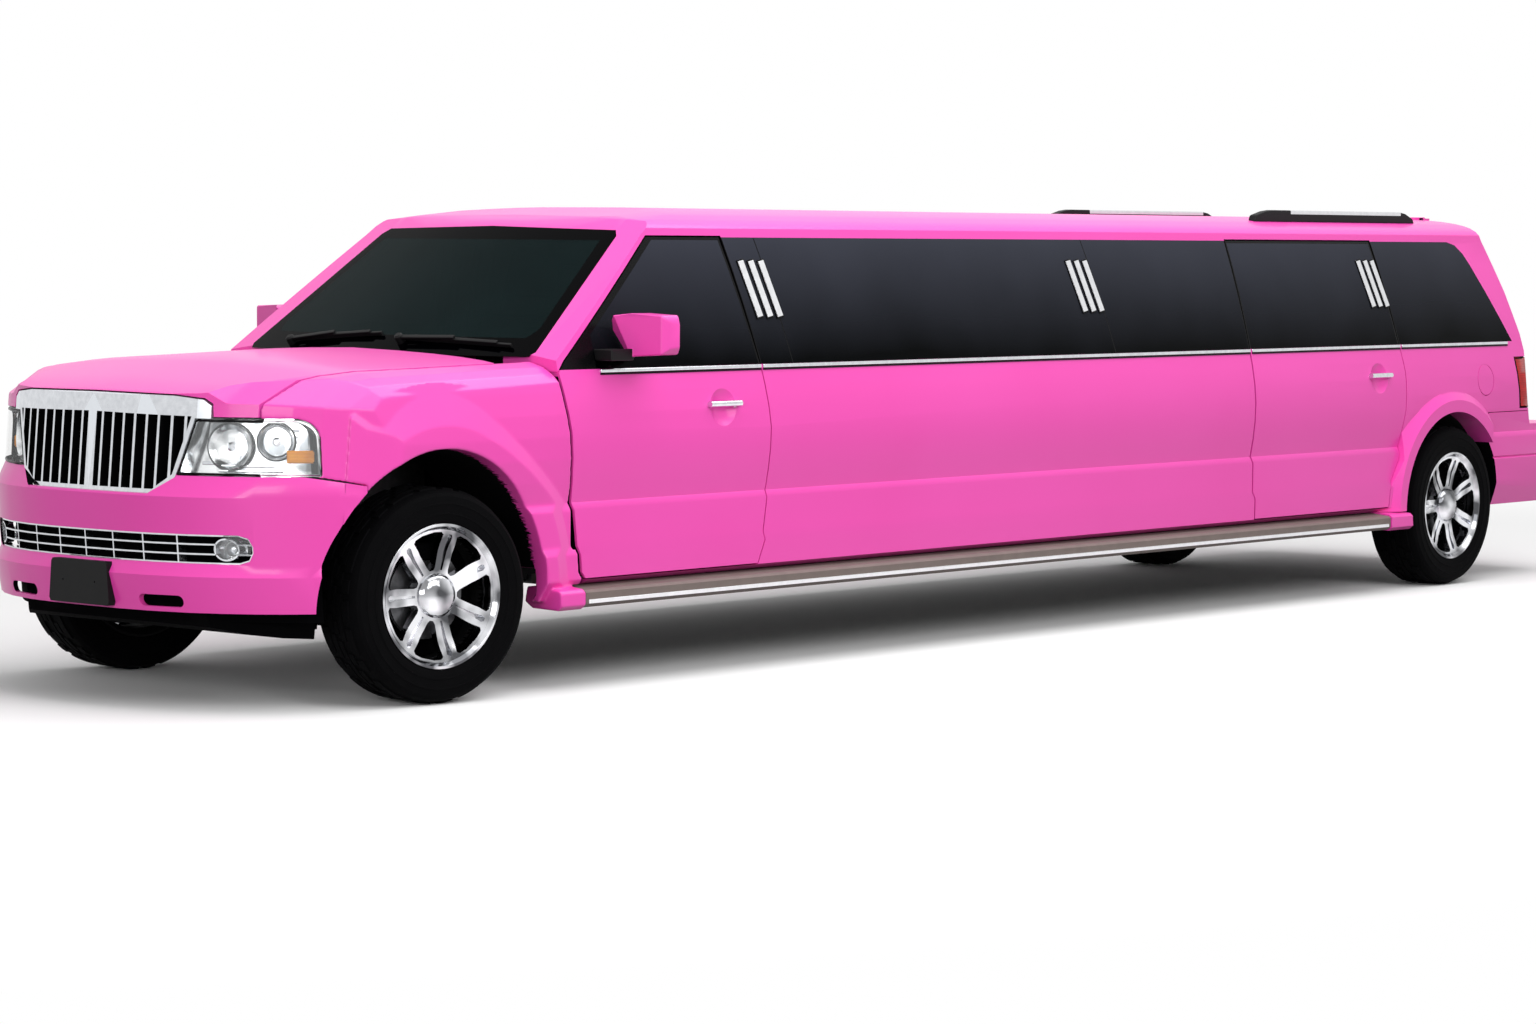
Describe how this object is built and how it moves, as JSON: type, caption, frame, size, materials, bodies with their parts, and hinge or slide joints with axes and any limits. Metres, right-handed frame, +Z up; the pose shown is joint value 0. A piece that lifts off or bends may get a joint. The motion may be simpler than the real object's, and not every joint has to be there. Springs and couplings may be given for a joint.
{
  "type": "stretch limousine",
  "caption": "Stretched sport-utility limousine in glossy pink with a long dark glass band, hinged doors, hood and liftgate, steered front wheels and a hollow cabin.",
  "frame": {"origin": "on the ground below the middle of the car's length and width", "axes": "+X forward, +Y to the car's left, +Z up"},
  "size_m": [9.5, 2.344, 1.902],
  "materials": {
    "body_paint": "gloss clear coat",
    "dark_glass": "dark tint",
    "windscreen_glass": "green tint",
    "chrome": "bright",
    "wheel_chrome": "bright",
    "tyre": "matt rubber",
    "lamp_clear": "clear lens",
    "lamp_red": "clear red lens",
    "seat_leather": "soft grain",
    "board_plastic": "satin",
    "cabinet_wood": "varnished",
    "rail_silver": "satin",
    "black_plastic": "matt",
    "bare_metal": "raw",
    "chassis_black": "satin"
  },
  "bodies": {
    "body": {"frame_rails": "chassis_black", "floor_pan": "chassis_black", "bulkhead": "black_plastic", "body_side_left": "body_paint", "body_side_right": "body_paint", "roof": "body_paint", "windscreen": "windscreen_glass", "side_glass": "dark_glass", "fender_left": "body_paint", "fender_right": "body_paint", "front_bumper": "body_paint", "grille": "chrome", "lower_grille": "chrome", "plate_bracket": "black_plastic", "headlamp_left": "lamp_clear", "headlamp_right": "lamp_clear", "rear_bumper": "body_paint", "tail_lamp_left": "lamp_red", "tail_lamp_right": "lamp_red", "board_left": "board_plastic", "board_right": "board_plastic", "rail_left": "rail_silver", "rail_right": "rail_silver", "dashboard": "black_plastic", "steering_wheel": "black_plastic", "front_seats": "seat_leather", "lounge_seats": "seat_leather", "bar_cabinet": "cabinet_wood", "partition": "black_plastic", "engine": "bare_metal", "radiator": "chassis_black", "front_suspension": "chassis_black", "driveline": "bare_metal", "exhaust": "bare_metal", "fuel_tank": "chassis_black"},
    "front_door_left": {"front_door_left": "body_paint", "front_glass_left": "dark_glass", "mirror_left": "body_paint"},
    "front_door_right": {"front_door_right": "body_paint", "front_glass_right": "dark_glass", "mirror_right": "body_paint"},
    "rear_door_left": {"rear_door_left": "body_paint", "rear_glass_left": "dark_glass"},
    "rear_door_right": {"rear_door_right": "body_paint", "rear_glass_right": "dark_glass"},
    "hood": {"hood": "body_paint"},
    "liftgate": {"liftgate": "body_paint", "liftgate_glass": "dark_glass"},
    "steer_left": {"knuckle_left": "bare_metal"},
    "steer_right": {"knuckle_right": "bare_metal"},
    "wheel_front_left": {"tyre_front_left": "tyre", "rim_front_left": "wheel_chrome"},
    "wheel_front_right": {"tyre_front_right": "tyre", "rim_front_right": "wheel_chrome"},
    "wheel_rear_left": {"tyre_rear_left": "tyre", "rim_rear_left": "wheel_chrome"},
    "wheel_rear_right": {"tyre_rear_right": "tyre", "rim_rear_right": "wheel_chrome"}
  },
  "joints": [
    {"name": "steer_left", "type": "hinge", "parent": "body", "child": "steer_left", "pos_m": [3.795, 0.77, 0.406], "axis": [0, 0, 1], "range_deg": [-24.5, 41.5]},
    {"name": "wheel_front_left_spin", "type": "hinge", "parent": "steer_left", "child": "wheel_front_left", "pos_m": [3.80712, 0.8511, 0.406], "axis": [0.1478, 0.989, 0], "continuous": true},
    {"name": "wheel_rear_left_spin", "type": "hinge", "parent": "body", "child": "wheel_rear_left", "pos_m": [-3.505, 0.852, 0.406], "axis": [0, 1, 0], "continuous": true},
    {"name": "front_door_left_hinge", "type": "hinge", "parent": "body", "child": "front_door_left", "pos_m": [2.975, 0.925, 0.825], "axis": [0, 0, -1], "range_deg": [0, 65]},
    {"name": "rear_door_left_hinge", "type": "hinge", "parent": "body", "child": "rear_door_left", "pos_m": [-1.805, 0.925, 0.825], "axis": [0, 0, -1], "range_deg": [0, 65]},
    {"name": "steer_right", "type": "hinge", "parent": "body", "child": "steer_right", "pos_m": [3.795, -0.77, 0.406], "axis": [0, 0, 1], "range_deg": [-24.5, 41.5]},
    {"name": "wheel_front_right_spin", "type": "hinge", "parent": "steer_right", "child": "wheel_front_right", "pos_m": [3.78288, -0.8511, 0.406], "axis": [0.1478, 0.989, 0], "continuous": true},
    {"name": "wheel_rear_right_spin", "type": "hinge", "parent": "body", "child": "wheel_rear_right", "pos_m": [-3.505, -0.852, 0.406], "axis": [0, 1, 0], "continuous": true},
    {"name": "front_door_right_hinge", "type": "hinge", "parent": "body", "child": "front_door_right", "pos_m": [2.975, -0.925, 0.825], "axis": [0, 0, 1], "range_deg": [0, 65]},
    {"name": "rear_door_right_hinge", "type": "hinge", "parent": "body", "child": "rear_door_right", "pos_m": [-1.805, -0.925, 0.825], "axis": [0, 0, 1], "range_deg": [0, 65]},
    {"name": "hood_hinge", "type": "hinge", "parent": "body", "child": "hood", "pos_m": [3.29, 0, 1.2], "axis": [0, -1, 0], "range_deg": [0, 50]},
    {"name": "liftgate_hinge", "type": "hinge", "parent": "body", "child": "liftgate", "pos_m": [-4.105, 0, 1.868], "axis": [0, 1, 0], "range_deg": [0, 80]}
  ],
  "couplings": [
    {"joint": "steer_right", "follows": "steer_left", "ratio": 1}
  ]
}
